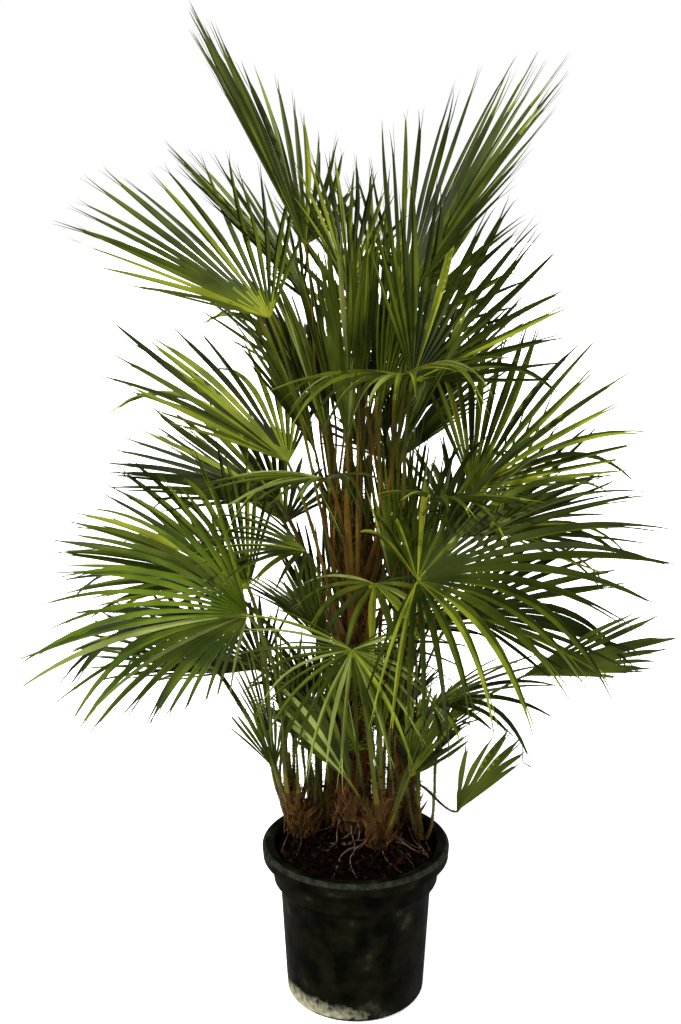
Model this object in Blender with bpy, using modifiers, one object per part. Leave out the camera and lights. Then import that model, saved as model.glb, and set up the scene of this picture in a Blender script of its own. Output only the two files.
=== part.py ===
"""A potted European fan palm: a clump of five stems with thirty-eight fans in a black nursery pot.

Metres, +Z up. The origin is the centre of the pot's flat underside. The plant is seen in its
picture from -Y. Azimuths are counted from +X, anticlockwise as seen from above.
"""

from collections import namedtuple
from math import cos, pi, radians, sin, tan

import bmesh
import bpy
from mathutils import Vector
from mathutils.bvhtree import BVHTree

CM = 0.01
CLEAR = 0.0004
UP = Vector((0.0, 0.0, 1.0))

# The pot, as half-widths and heights
POT_HEIGHT = 0.312
WALL = 0.003
FLOOR = 0.004
FOOT_RADIUS = 0.120
FOOT_CURVE = 0.013
FOOT_BEND = 0.7
BODY_LOW_RADIUS = 0.133
BODY_TOP_RADIUS = 0.1445
COLLAR_RADIUS = 0.1575
COLLAR_LOW = 0.240
LIP_RADIUS = 0.179
LIP_LOW = 0.286
LIP_CURVE = 0.007
POT_SIDES = 40
DRAIN_HOLES = 6
DRAIN_RADIUS = 0.006
DRAIN_RING = 0.085
DRAIN_SIDES = 8
DRILL_DEPTH = 0.016
SOIL_TOP = 0.318
SOIL_EDGE = 0.283
HEAP_RADIUS = 0.138
SOIL_GAP = 0.0005

# The stems, from a flat cut on the soil to the top of their leaf bases
Stem = namedtuple("Stem", "foot top foot_radius waist_radius top_radius")
STEMS = {
    "main": Stem((0.0, 3.5), (0.5, 3.0, 94), 4.4, 3.3, 2.4),
    "right": Stem((9.4, 4.5), (8.0, 3.5, 68), 3.3, 2.5, 1.9),
    "left": Stem((-10.2, 1.5), (-12.4, -1.6, 43), 3.2, 2.4, 1.7),
    "back": Stem((-2.5, 10.4), (-3.5, 13.5, 60), 2.6, 2.4, 1.9),
    "front": Stem((4.2, -4.2), (5.0, -7.5, 44), 2.3, 1.9, 1.4),
}
FLARE_HEIGHT = 0.07
STEM_SHARES = (0.0, 0.03, 0.08, 0.25, 0.6, 1.0)
STEM_BEVEL_RESOLUTION = 4

# Each fan: its stem, the height where its stalk leaves it, its hub (cm), the way the blade points
# (azimuth, elevation) and its roll, its reach (cm), half its spread, how far its sides fold up,
# its droop, how much shorter its outer leaflets are, and its count of leaflet groups
Fan = namedtuple("Fan", "stem start hub aim roll reach half fold droop short leaflets")
FANS = {
    "top_left": Fan("main", 90, (-9, 5, 143), (120, 50), -37, 48, 58, 12, 0.0, 0.25, 14),
    "top_right": Fan("main", 92, (8, 4, 133), (29, 60), 4, 49, 60, 14, 0.0, 0.20, 14),
    "top_back": Fan("main", 94, (-1.5, 10, 135), (95, 58), -30, 29, 48, 14, 0.05, 0.45, 11),
    "top_far_left": Fan("main", 87, (-10, 18, 133.5), (150, 45), -10, 37, 56, 12, 0.0, 0.20, 12),
    "upper_left": Fan("main", 82, (-15, -3, 131), (147, 36), 20, 43, 60, 15, 0.05, 0.42, 15),
    "middle_left": Fan("main", 72, (-12, -5, 106), (143, 34), 2, 42, 62, 12, 0.1, 0.42, 15),
    "dark_left": Fan("main", 66, (-14.5, 10, 95.5), (152, 18), 16, 39, 60, 10, 0.1, 0.42, 13),
    "lower_left": Fan("left", 41, (-19, -10, 84.5), (146, 26), 33, 41, 64, 16, 0.3, 0.42, 15),
    "low_left": Fan("left", 38.5, (-18.5, -20, 83), (190, -4), -66, 40, 84, 18, 0.7, 0.35, 17),
    "upper_right": Fan("right", 66, (9.5, -6, 120.5), (42, 52), -66, 38, 62, 20, 0.1, 0.35, 14),
    "middle_right": Fan("right", 67, (20.5, -2, 100.5), (44, 39), -38, 41, 62, 22, 0.05, 0.40, 15),
    "lower_right": Fan("right", 56, (10, -20, 89), (-14, 26), -30, 46, 115, 12, 0.7, 0.40, 20),
    "far_right": Fan("right", 64, (25, 8, 90.5), (29, 14), -54, 35, 62, 30, 0.1, 0.30, 13),
    "low_right": Fan("right", 46, (31, 0, 64.5), (2, 11), 48, 29, 36, 12, 0.0, 0.15, 8),
    "under_right": Fan("right", 58, (19, 3, 76), (12, 4), -35, 38, 60, 14, 0.2, 0.35, 13),
    "under_left": Fan("left", 40, (-19, -4, 75), (172, -2), -25, 38, 56, 14, 0.35, 0.35, 12),
    "small_right": Fan("right", 41, (18.5, -8, 41), (10, 52), 60, 18.5, 42, 8, 0.0, 0.20, 7),
    "small_front": Fan("front", 35, (9.5, -12, 49.5), (50, 52), -70, 17, 42, 14, 0.0, 0.20, 8),
    "small_left": Fan("front", 38, (-1, -13, 49), (160, 50), -55, 22, 46, 8, 0.1, 0.20, 8),
    "front": Fan("front", 39, (-1, -28, 79.5), (-92, -42), 0, 23, 128, 12, 0.5, 0.15, 19),
    "centre": Fan("main", 84, (8, -9, 122), (-112, 6), -8, 27, 92, 12, 0.45, 0.20, 14),
    "centre_left": Fan("main", 74, (-5, -14, 105), (-128, 8), -6, 25, 74, 12, 0.5, 0.25, 11),
    "centre_right": Fan("main", 70, (13, -12, 101), (-58, 12), 8, 22, 74, 12, 0.4, 0.25, 11),
    "inner_left": Fan("main", 66, (-9, -9, 91), (-155, 12), 12, 24, 78, 12, 0.5, 0.25, 11),
    "inner_right": Fan("right", 48, (14, -8, 62), (-40, 20), -10, 26, 75, 12, 0.45, 0.30, 11),
    "front_centre": Fan("main", 62, (3, -12, 86), (-95, -30), 0, 17, 105, 12, 0.5, 0.20, 9),
}

# The other fans, as stem, start, azimuth, distance out, hub height, elevation and reach
RingFan = namedtuple("RingFan", "stem start azimuth out height tilt reach")
RING_FANS = (
    RingFan("main", 84, 75, 17, 121, 52, 46),
    RingFan("main", 76, 63, 24, 109, 34, 38),
    RingFan("main", 70, 108, 25, 112, 40, 42),
    RingFan("main", 62, 74, 27, 99, 22, 40),
    RingFan("right", 59, 62, 26, 84, 14, 44),
    RingFan("right", 53, 88, 23, 71, 10, 36),
    RingFan("back", 56, 122, 20, 86, 22, 40),
    RingFan("back", 52, 158, 25, 76, 12, 38),
    RingFan("back", 48, 98, 20, 61, 4, 36),
    RingFan("back", 44, 135, 22, 55, 6, 34),
    RingFan("back", 50, 48, 20, 64, 14, 34),
    RingFan("left", 40, 142, 18, 62, 16, 34),
)
RING_HALF = 66
RING_FOLD = 14
RING_DROOP = 0.15
RING_SHORT = 0.40
RING_LEAFLETS = 14
RING_ROLL = 16

# Blades and stalks
PALMATE_SHARE = 0.30
SHOULDER_SHARE = 0.62
THICKNESS_SHARE = 0.0104
LEAFLET_WIDTH = 0.024
FOLD_POWER = 1.5
DROOP_POWER = 1.6
STALK_POINTS = 7
STALK_BEVEL_RESOLUTION = 0
STALK_FOOT = 0.0065
STALK_TIP = 0.0045
STALK_STEP = 0.006
STALK_RISE = 0.6
STALK_LEAN = 0.25
STALK_LEAVING = 0.35
STALK_ARRIVAL = 0.30
STALK_PULL = 0.45
STALK_SINK = 0.020
RIB_STEPS = 12
NEAR = 0.02
FILLED_SHARE = 0.85

# What a leaflet does where another piece is in its way
LIFTS = (0, 5, -5, 10, -10, 15, -15, 20, -20, 26, -26)
LENGTHS = (1.0, 0.82, 0.64)
SPACE = 0.0012
STUB_SHARE = 0.9

# Points nearer than these are one point: in a turned profile, a tube and a blade
SAME_TURNED = 1e-5
SAME_TUBE = 1e-6
SAME_BLADE = 2e-4

COLOURS = {
    "pot": ((0.018, 0.018, 0.019), 0.5),
    "soil": ((0.050, 0.026, 0.016), 0.95),
    "stem": ((0.130, 0.065, 0.028), 0.9),
    "fan": ((0.060, 0.105, 0.018), 0.55),
}


def material(kind):
    name = "palm_" + kind
    if name not in bpy.data.materials:
        colour, roughness = COLOURS[kind]
        made = bpy.data.materials.new(name)
        made.use_nodes = True
        shader = made.node_tree.nodes["Principled BSDF"]
        shader.inputs["Base Color"].default_value = (*colour, 1.0)
        shader.inputs["Roughness"].default_value = roughness
    return bpy.data.materials[name]


def object_of(name, data, kind, group):
    made = bpy.data.objects.new(name, data)
    group.objects.link(made)
    if data.materials:
        data.materials.clear()
    data.materials.append(material(kind))
    return made


def clear_scene():
    for old in list(bpy.data.objects):
        bpy.data.objects.remove(old)


def turned(name, profile, kind, group):
    """A profile of (radius, height) points turned about the Z axis."""
    mesh = bpy.data.meshes.new(name)
    shape = bmesh.new()
    points = [shape.verts.new((radius, 0.0, height)) for radius, height in profile]
    for first, second in zip(points, points[1:]):
        shape.edges.new((first, second))
    shape.to_mesh(mesh)
    shape.free()
    made = object_of(name, mesh, kind, group)
    screw = made.modifiers.new("turn", "SCREW")
    screw.steps = screw.render_steps = POT_SIDES
    screw.use_merge_vertices = True
    screw.merge_threshold = SAME_TURNED
    return made


def inner_wall():
    """The inside of the pot from its floor to its mouth."""
    return [
        (FOOT_RADIUS, FLOOR),
        (BODY_LOW_RADIUS - WALL, FOOT_CURVE + FLOOR / 2),
        (BODY_TOP_RADIUS - WALL, COLLAR_LOW - WALL),
        (COLLAR_RADIUS - WALL, COLLAR_LOW + 2 * WALL),
        (COLLAR_RADIUS - WALL, POT_HEIGHT - LIP_CURVE),
    ]


def pot(group):
    half = LIP_CURVE * sin(pi / 4)
    outside = [
        (COLLAR_RADIUS + LIP_CURVE - WALL, POT_HEIGHT),
        (LIP_RADIUS - LIP_CURVE, POT_HEIGHT),
        (LIP_RADIUS - LIP_CURVE + half, POT_HEIGHT - LIP_CURVE + half),
        (LIP_RADIUS, POT_HEIGHT - LIP_CURVE),
        (LIP_RADIUS - WALL / 2, LIP_LOW),
        (COLLAR_RADIUS, LIP_LOW),
        (COLLAR_RADIUS, COLLAR_LOW),
        (BODY_TOP_RADIUS, COLLAR_LOW - 2 * WALL),
        (BODY_LOW_RADIUS, FOOT_CURVE),
        (FOOT_RADIUS + (BODY_LOW_RADIUS - FOOT_RADIUS) * FOOT_BEND, FOOT_CURVE * (1.0 - FOOT_BEND)),
        (FOOT_RADIUS, 0.0),
    ]
    profile = [(0.0, FLOOR)] + inner_wall() + outside + [(0.0, 0.0)]
    made = turned("pot", profile, "pot", group)
    for index in range(DRAIN_HOLES):
        drill(made, 2 * pi * index / DRAIN_HOLES)


def drill(pot_object, angle):
    bpy.ops.mesh.primitive_cylinder_add(vertices=DRAIN_SIDES, radius=DRAIN_RADIUS, depth=DRILL_DEPTH)
    cutter = bpy.context.object
    cutter.name = "drain_cutter"
    cutter.location = (DRAIN_RING * cos(angle), DRAIN_RING * sin(angle), FLOOR / 2)
    cutter.hide_render = True
    cutter.display_type = "WIRE"
    cut = pot_object.modifiers.new("drain", "BOOLEAN")
    cut.operation = "DIFFERENCE"
    cut.object = cutter


def soil(group):
    inset = [(radius - SOIL_GAP, height + SOIL_GAP) for radius, height in inner_wall()[:-1]]
    top = [(COLLAR_RADIUS - WALL - SOIL_GAP, SOIL_EDGE), (HEAP_RADIUS, SOIL_TOP), (0.0, SOIL_TOP)]
    profile = [(0.0, FLOOR + SOIL_GAP)] + inset + top
    turned("soil", profile[::-1], "soil", group)


def stem_axis(stem, share):
    """The point of a stem's centre line at this share of its height; it leaves the soil upright."""
    foot = Vector((stem.foot[0] * CM, stem.foot[1] * CM, SOIL_TOP + CLEAR))
    top = Vector(stem.top) * CM
    lean = share * share * (3.0 - 2.0 * share)
    return Vector((foot.x + (top.x - foot.x) * lean, foot.y + (top.y - foot.y) * lean,
                   foot.z + (top.z - foot.z) * share))


def stem_radius(stem, share):
    height = (stem.top[2] * CM - SOIL_TOP) * share
    waist = stem.waist_radius + (stem.top_radius - stem.waist_radius) * share
    flare = max(0.0, 1.0 - height / FLARE_HEIGHT) ** 2
    return (waist + (stem.foot_radius - stem.waist_radius) * flare) * CM


def tube(name, points, radii, resolution, kind, group):
    """A closed mesh tube along these points, with a radius at each."""
    curve = bpy.data.curves.new(name, "CURVE")
    curve.dimensions = "3D"
    curve.bevel_depth = 1.0
    curve.bevel_resolution = resolution
    curve.use_fill_caps = True
    line = curve.splines.new("POLY")
    line.points.add(len(points) - 1)
    for spot, place, radius in zip(line.points, points, radii):
        spot.co = (*place, 1.0)
        spot.radius = radius
    holder = bpy.data.objects.new(name + "_curve", curve)
    group.objects.link(holder)
    bpy.context.view_layer.update()
    graph = bpy.context.evaluated_depsgraph_get()
    mesh = bpy.data.meshes.new_from_object(holder.evaluated_get(graph))
    weld(mesh)
    bpy.data.objects.remove(holder)
    bpy.data.curves.remove(curve)
    return object_of(name, mesh, kind, group)


def weld(mesh):
    shape = bmesh.new()
    shape.from_mesh(mesh)
    bmesh.ops.remove_doubles(shape, verts=shape.verts, dist=SAME_TUBE)
    bmesh.ops.recalc_face_normals(shape, faces=shape.faces)
    shape.to_mesh(mesh)
    shape.free()


def stem_object(name, stem, group):
    points = [stem_axis(stem, share) for share in STEM_SHARES]
    points[1] = Vector((points[0].x, points[0].y, points[1].z))
    radii = [stem_radius(stem, share) for share in STEM_SHARES]
    return tube("stem_" + name, points, radii, STEM_BEVEL_RESOLUTION, "stem", group)


def blade_axes(fan):
    """The blade's long axis, its face normal and the way across it."""
    azimuth, elevation = radians(fan.aim[0]), radians(fan.aim[1])
    along = Vector((cos(azimuth) * cos(elevation), sin(azimuth) * cos(elevation), sin(elevation)))
    face = Vector((-cos(azimuth) * sin(elevation), -sin(azimuth) * sin(elevation), cos(elevation)))
    side = face.cross(along)
    turned_face = face * cos(radians(fan.roll)) + side * sin(radians(fan.roll))
    return along, turned_face, turned_face.cross(along)


def leaflet_heading(fan, angle):
    along, face, across = blade_axes(fan)
    fold = tan(radians(fan.fold)) * abs(sin(angle)) ** FOLD_POWER
    return (along * cos(angle) + across * sin(angle) + face * fold).normalized()


def leaflet_length(fan, angle):
    share = angle / radians(fan.half)
    return fan.reach * CM * (1.0 - fan.short * share * share)


def rib(fan, angle, lift=0.0, length=1.0):
    """The leaflet's centre line from the hub, as RIB_STEPS + 1 points, bending down to its tip."""
    heading = leaflet_heading(fan, angle)
    step = leaflet_length(fan, angle) * length / RIB_STEPS
    spots = [Vector(fan.hub) * CM]
    for index in range(RIB_STEPS):
        share = (index + 0.5) / RIB_STEPS
        free = max(0.0, share - PALMATE_SHARE) / (1.0 - PALMATE_SHARE)
        turn = tan(radians(lift)) * free ** 0.5
        sag = fan.droop * share ** DROOP_POWER
        spots.append(spots[-1] + (heading + UP * (turn - sag)).normalized() * step)
    return spots


def along_rib(spots, share):
    place = share * (len(spots) - 1)
    index = min(int(place), len(spots) - 2)
    return spots[index].lerp(spots[index + 1], place - index)


def across_rib(fan, angle):
    return (leaflet_heading(fan, angle + NEAR) - leaflet_heading(fan, angle - NEAR)).normalized()


def leaflet_rows(fan, angle, gap, lift, length):
    """The left and right points of a leaflet group at the hub, the split, the shoulder and the tip."""
    spots = rib(fan, angle, lift, length)
    hub, tip = spots[0], spots[-1]
    split = [along_rib(rib(fan, angle + side * gap / 2), PALMATE_SHARE) for side in (-1, 1)]
    width = min(LEAFLET_WIDTH, FILLED_SHARE * (split[1] - split[0]).length)
    middle = along_rib(spots, SHOULDER_SHARE)
    across = across_rib(fan, angle) * width / 2
    return [(hub, hub), tuple(split), (middle - across, middle + across), (tip, tip)]


def add_leaflet(shape, rows):
    """A grid of faces drawn out over the leaflet's rows."""
    made = bmesh.ops.create_grid(shape, x_segments=1, y_segments=len(rows) - 1, size=0.5)
    spots = sorted(made["verts"], key=lambda spot: (round(spot.co.y, 4), spot.co.x))
    for index, row in enumerate(rows):
        spots[2 * index].co, spots[2 * index + 1].co = row


def angles(fan):
    half = radians(fan.half)
    gap = 2 * half / fan.leaflets
    return [-half + gap * (index + 0.5) for index in range(fan.leaflets)], gap


def clean(shape):
    bmesh.ops.remove_doubles(shape, verts=shape.verts, dist=SAME_BLADE)
    bmesh.ops.dissolve_degenerate(shape, edges=shape.edges, dist=SAME_TURNED)
    bmesh.ops.recalc_face_normals(shape, faces=shape.faces)


def tree_of(mesh):
    shape = bmesh.new()
    shape.from_mesh(mesh)
    found = BVHTree.FromBMesh(shape)
    shape.free()
    return found


def blade_mesh(fan, choices):
    """The blade as an open sheet: a pleated middle and a free leaflet for each choice of lift and length."""
    shape = bmesh.new()
    places, gap = angles(fan)
    for angle, (lift, length) in zip(places, choices):
        rows = leaflet_rows(fan, angle, gap, lift, length)
        add_leaflet(shape, rows)
    clean(shape)
    mesh = bpy.data.meshes.new("blade")
    shape.to_mesh(mesh)
    shape.free()
    return mesh


def solid_blade(name, fan, choices, group):
    made = object_of(name, blade_mesh(fan, choices), "fan", group)
    solidify = made.modifiers.new("thickness", "SOLIDIFY")
    solidify.thickness = fan.reach * CM * THICKNESS_SHARE
    solidify.offset = 0.0
    return made


def leaflet_probe(fan, angle, gap, lift, length):
    """The free part of one leaflet group as a thin closed box, for seeing what it would touch."""
    rows = leaflet_rows(fan, angle, gap, lift, length)
    face = leaflet_heading(fan, angle).cross(across_rib(fan, angle)).normalized()
    push = face * (fan.reach * CM * THICKNESS_SHARE / 2 + SPACE)
    shape = bmesh.new()
    for side in (push, -push):
        add_leaflet(shape, [(left + side, right + side) for left, right in rows[1:]])
    found = BVHTree.FromBMesh(shape)
    shape.free()
    return found


def stalk_line(fan, foot, out):
    """The stalk from its foot on the stem, up along the stem and out to the hub."""
    along = blade_axes(fan)[0]
    hub = Vector(fan.hub) * CM
    span = (hub - foot).length
    chord = (hub - foot).normalized()
    first = foot + out * STALK_STEP
    leave = first + (UP * STALK_RISE + out * STALK_LEAN).normalized() * span * STALK_LEAVING
    arrive = hub - (along * STALK_PULL + chord).normalized() * span * STALK_ARRIVAL
    line = [foot]
    for index in range(STALK_POINTS):
        share = index / (STALK_POINTS - 1)
        rest = 1.0 - share
        line.append(first * rest ** 3 + leave * (3 * rest * rest * share)
                    + arrive * (3 * rest * share * share) + hub * share ** 3)
    return line + [hub + along * STALK_SINK]


def stalk_foot(fan, stem, trunk_tree):
    """The spot on the stem's own facet that faces the hub, and the way straight out of it."""
    share = (fan.start * CM - SOIL_TOP) / (stem.top[2] * CM - SOIL_TOP)
    centre = stem_axis(stem, share)
    away = Vector(fan.hub) * CM - centre
    away.z = 0.0
    away.normalize()
    outside = centre + away * 2 * stem.foot_radius * CM
    place, normal, _, _ = trunk_tree.ray_cast(outside, -away)
    return place + normal * CLEAR, normal


def stalk(name, fan, stem, trunk_tree, group):
    foot, out = stalk_foot(fan, stem, trunk_tree)
    line = stalk_line(fan, foot, out)
    radii = [STALK_FOOT + (STALK_TIP - STALK_FOOT) * index / (len(line) - 1)
             for index in range(len(line))]
    return tube(name, line, radii, STALK_BEVEL_RESOLUTION, "fan", group)


def evaluated_mesh(made):
    bpy.context.view_layer.update()
    graph = bpy.context.evaluated_depsgraph_get()
    return bpy.data.meshes.new_from_object(made.evaluated_get(graph))


def united(name, blade, stalk_object, group):
    """The stalk and its blade joined to one solid by a Boolean union on a collection."""
    parts = bpy.data.collections.new(name + "_parts")
    bpy.context.scene.collection.children.link(parts)
    parts.objects.link(blade)
    join = stalk_object.modifiers.new("join", "BOOLEAN")
    join.operation = "UNION"
    join.operand_type = "COLLECTION"
    join.collection = parts
    join.solver = "MANIFOLD"
    mesh = evaluated_mesh(stalk_object)
    bpy.data.objects.remove(blade)
    bpy.data.objects.remove(stalk_object)
    bpy.data.collections.remove(parts)
    return object_of(name, mesh, "fan", group)


def ring_fan(index, row):
    """A fan whose hub lies straight out from the top of its stem, and which points the same way."""
    stem = STEMS[row.stem]
    turn = radians(row.azimuth)
    hub = (stem.top[0] + row.out * cos(turn), stem.top[1] + row.out * sin(turn), row.height)
    roll = RING_ROLL if index % 2 else -RING_ROLL
    return Fan(row.stem, row.start, hub, (row.azimuth, row.tilt), roll, row.reach, RING_HALF,
               RING_FOLD, RING_DROOP, RING_SHORT, RING_LEAFLETS)


def all_fans():
    fans = dict(FANS)
    for index, row in enumerate(RING_FANS):
        fans["ring_%02d" % (index + 1)] = ring_fan(index, row)
    return fans


def stub_choices(fan):
    return [(0.0, PALMATE_SHARE / SHOULDER_SHARE * STUB_SHARE)] * fan.leaflets


def core_trees(fans, trunk_trees, group):
    """What each fan's stalk and pleated middle take up, before any free leaflet is placed."""
    trees = {}
    for name, fan in fans.items():
        blade = solid_blade("probe", fan, stub_choices(fan), group)
        post = stalk("probe_stalk", fan, STEMS[fan.stem], trunk_trees[fan.stem], group)
        trees[name] = [tree_of(evaluated_mesh(blade)), tree_of(post.data)]
        bpy.data.objects.remove(blade)
        bpy.data.objects.remove(post)
    return trees


def choose_leaflets(fan, obstacles):
    """The first lift and length for each leaflet that touches nothing already placed."""
    chosen = []
    places, gap = angles(fan)
    for angle in places:
        chosen.append(choose_one(fan, angle, gap, obstacles))
    return chosen


def choose_one(fan, angle, gap, obstacles):
    for length in LENGTHS:
        for lift in LIFTS:
            probe = leaflet_probe(fan, angle, gap, lift, length)
            if not any(probe.overlap(other) for other in obstacles):
                return lift, length
    return stub_choices(fan)[0]


def fans_and_stems(group):
    trunks = {name: stem_object(name, stem, group) for name, stem in STEMS.items()}
    trunk_trees = {name: tree_of(trunk.data) for name, trunk in trunks.items()}
    fans = all_fans()
    cores = core_trees(fans, trunk_trees, group)
    placed = {}
    for name, fan in fans.items():
        obstacles = list(trunk_trees.values()) + list(placed.values())
        obstacles += [tree for other, trees in cores.items() if other != name for tree in trees]
        choices = choose_leaflets(fan, obstacles)
        blade = solid_blade("blade", fan, choices, group)
        post = stalk("stalk", fan, STEMS[fan.stem], trunk_trees[fan.stem], group)
        made = united("fan_" + name, blade, post, group)
        placed[name] = tree_of(made.data)


def main():
    clear_scene()
    group = bpy.data.collections.new("potted_fan_palm")
    bpy.context.scene.collection.children.link(group)
    pot(group)
    soil(group)
    fans_and_stems(group)


main()
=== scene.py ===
"""The looks of a potted European fan palm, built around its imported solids.

Metres, +Z up, the pot's underside at the origin, the picture taken from -Y. The tables and rules of
the stems and fans are the ones that the solids were made by, carried here to real leaflets.
"""

import random
from collections import namedtuple
from math import cos, pi, radians, sin, tan

import bmesh
import bpy
from mathutils import Matrix, Vector, noise

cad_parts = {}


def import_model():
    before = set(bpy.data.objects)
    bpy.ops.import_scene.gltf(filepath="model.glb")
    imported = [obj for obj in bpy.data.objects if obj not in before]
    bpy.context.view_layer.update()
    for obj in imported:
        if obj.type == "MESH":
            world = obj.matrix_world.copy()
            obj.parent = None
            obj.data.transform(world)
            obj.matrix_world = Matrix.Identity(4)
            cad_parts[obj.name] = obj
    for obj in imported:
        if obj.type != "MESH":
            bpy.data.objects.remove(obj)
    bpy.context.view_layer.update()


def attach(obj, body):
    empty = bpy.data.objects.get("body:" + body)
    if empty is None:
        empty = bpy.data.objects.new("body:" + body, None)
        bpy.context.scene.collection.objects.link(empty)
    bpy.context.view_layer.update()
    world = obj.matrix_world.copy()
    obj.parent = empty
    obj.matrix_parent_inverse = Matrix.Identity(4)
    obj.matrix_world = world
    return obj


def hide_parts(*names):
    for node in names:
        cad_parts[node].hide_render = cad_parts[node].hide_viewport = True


CM = 0.01
CLEAR = 0.0004
UP = Vector((0.0, 0.0, 1.0))
BODY = "root"

# The camera that the picture was taken with
PHOTO_HEIGHT = 1024
FOCAL_PIXELS = 1369.0
SENSOR = 36.0
CAMERA_PLACE = (-0.029, -2.4, 1.55)
CAMERA_DOWN = 13.85

# The pot and its soil, as in the solids
POT_HEIGHT = 0.312
WALL = 0.003
FLOOR = 0.004
FOOT_RADIUS = 0.12
FOOT_CURVE = 0.013
BODY_LOW_RADIUS = 0.133
BODY_TOP_RADIUS = 0.1445
COLLAR_RADIUS = 0.1575
COLLAR_LOW = 0.24
LIP_RADIUS = 0.179
LIP_LOW = 0.286
LIP_CURVE = 0.007
SOIL_TOP = 0.318
SOIL_EDGE = 0.283

# The stems, from a flat cut on the soil to the top of their leaf bases
Stem = namedtuple("Stem", "foot top foot_radius waist_radius top_radius")
STEMS = {
    "main": Stem((0.0, 3.5), (0.5, 3.0, 94), 4.4, 3.3, 2.4),
    "right": Stem((9.4, 4.5), (8.0, 3.5, 68), 3.3, 2.5, 1.9),
    "left": Stem((-10.2, 1.5), (-12.4, -1.6, 43), 3.2, 2.4, 1.7),
    "back": Stem((-2.5, 10.4), (-3.5, 13.5, 60), 2.6, 2.4, 1.9),
    "front": Stem((4.2, -4.2), (5.0, -7.5, 44), 2.3, 1.9, 1.4),
}
FLARE_HEIGHT = 0.07

# Each fan: its stem, the height where its stalk leaves it, its hub (cm), the way the blade points
# (azimuth, elevation) and its roll, its reach (cm), half its spread, how far its sides fold up,
# its droop, how much shorter its outer leaflets are, and its count of leaflet groups
Fan = namedtuple("Fan", "stem start hub aim roll reach half fold droop short leaflets")
FANS = {
    "top_left": Fan("main", 90, (-9, 5, 143), (120, 50), -37, 48, 58, 12, 0.0, 0.25, 14),
    "top_right": Fan("main", 92, (8, 4, 133), (29, 60), 4, 49, 60, 14, 0.0, 0.2, 14),
    "top_back": Fan("main", 94, (-1.5, 10, 135), (95, 58), -30, 29, 48, 14, 0.05, 0.45, 11),
    "top_far_left": Fan("main", 87, (-10, 18, 133.5), (150, 45), -10, 37, 56, 12, 0.0, 0.2, 12),
    "upper_left": Fan("main", 82, (-15, -3, 131), (147, 36), 20, 43, 60, 15, 0.05, 0.42, 15),
    "middle_left": Fan("main", 72, (-12, -5, 106), (143, 34), 2, 42, 62, 12, 0.1, 0.42, 15),
    "dark_left": Fan("main", 66, (-14.5, 10, 95.5), (152, 18), 16, 39, 60, 10, 0.1, 0.42, 13),
    "lower_left": Fan("left", 41, (-19, -10, 84.5), (146, 26), 33, 41, 64, 16, 0.3, 0.42, 15),
    "low_left": Fan("left", 38.5, (-18.5, -20, 83), (190, -4), -66, 40, 84, 18, 0.7, 0.35, 17),
    "upper_right": Fan("right", 66, (9.5, -6, 120.5), (42, 52), -66, 38, 62, 20, 0.1, 0.35, 14),
    "middle_right": Fan("right", 67, (20.5, -2, 100.5), (44, 39), -38, 41, 62, 22, 0.05, 0.4, 15),
    "lower_right": Fan("right", 56, (10, -20, 89), (-14, 26), -30, 46, 115, 12, 0.7, 0.4, 20),
    "far_right": Fan("right", 64, (25, 8, 90.5), (29, 14), -54, 35, 62, 30, 0.1, 0.3, 13),
    "low_right": Fan("right", 46, (31, 0, 64.5), (2, 11), 48, 29, 36, 12, 0.0, 0.15, 8),
    "under_right": Fan("right", 58, (19, 3, 76), (12, 4), -35, 38, 60, 14, 0.2, 0.35, 13),
    "under_left": Fan("left", 40, (-19, -4, 75), (172, -2), -25, 38, 56, 14, 0.35, 0.35, 12),
    "small_right": Fan("right", 41, (18.5, -8, 41), (10, 52), 60, 18.5, 42, 8, 0.0, 0.2, 7),
    "small_front": Fan("front", 35, (9.5, -12, 49.5), (50, 52), -70, 17, 42, 14, 0.0, 0.2, 8),
    "small_left": Fan("front", 38, (-1, -13, 49), (160, 50), -55, 22, 46, 8, 0.1, 0.2, 8),
    "front": Fan("front", 39, (-1, -28, 79.5), (-92, -42), 0, 23, 128, 12, 0.5, 0.15, 19),
    "centre": Fan("main", 84, (8, -9, 122), (-112, 6), -8, 27, 92, 12, 0.45, 0.2, 14),
    "centre_left": Fan("main", 74, (-5, -14, 105), (-128, 8), -6, 25, 74, 12, 0.5, 0.25, 11),
    "centre_right": Fan("main", 70, (13, -12, 101), (-58, 12), 8, 22, 74, 12, 0.4, 0.25, 11),
    "inner_left": Fan("main", 66, (-9, -9, 91), (-155, 12), 12, 24, 78, 12, 0.5, 0.25, 11),
    "inner_right": Fan("right", 48, (14, -8, 62), (-40, 20), -10, 26, 75, 12, 0.45, 0.3, 11),
    "front_centre": Fan("main", 62, (3, -12, 86), (-95, -30), 0, 17, 105, 12, 0.5, 0.2, 9),
}

# The other fans, as stem, start, azimuth, distance out, hub height, elevation and reach
RingFan = namedtuple("RingFan", "stem start azimuth out height tilt reach")
RING_FANS = (
    RingFan("main", 84, 75, 17, 121, 52, 46),
    RingFan("main", 76, 63, 24, 109, 34, 38),
    RingFan("main", 70, 108, 25, 112, 40, 42),
    RingFan("main", 62, 74, 27, 99, 22, 40),
    RingFan("right", 59, 62, 26, 84, 14, 44),
    RingFan("right", 53, 88, 23, 71, 10, 36),
    RingFan("back", 56, 122, 20, 86, 22, 40),
    RingFan("back", 52, 158, 25, 76, 12, 38),
    RingFan("back", 48, 98, 20, 61, 4, 36),
    RingFan("back", 44, 135, 22, 55, 6, 34),
    RingFan("back", 50, 48, 20, 64, 14, 34),
    RingFan("left", 40, 142, 18, 62, 16, 34),
)
RING_HALF = 66
RING_FOLD = 14
RING_DROOP = 0.15
RING_SHORT = 0.4
RING_LEAFLETS = 14
RING_ROLL = 16

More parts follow.
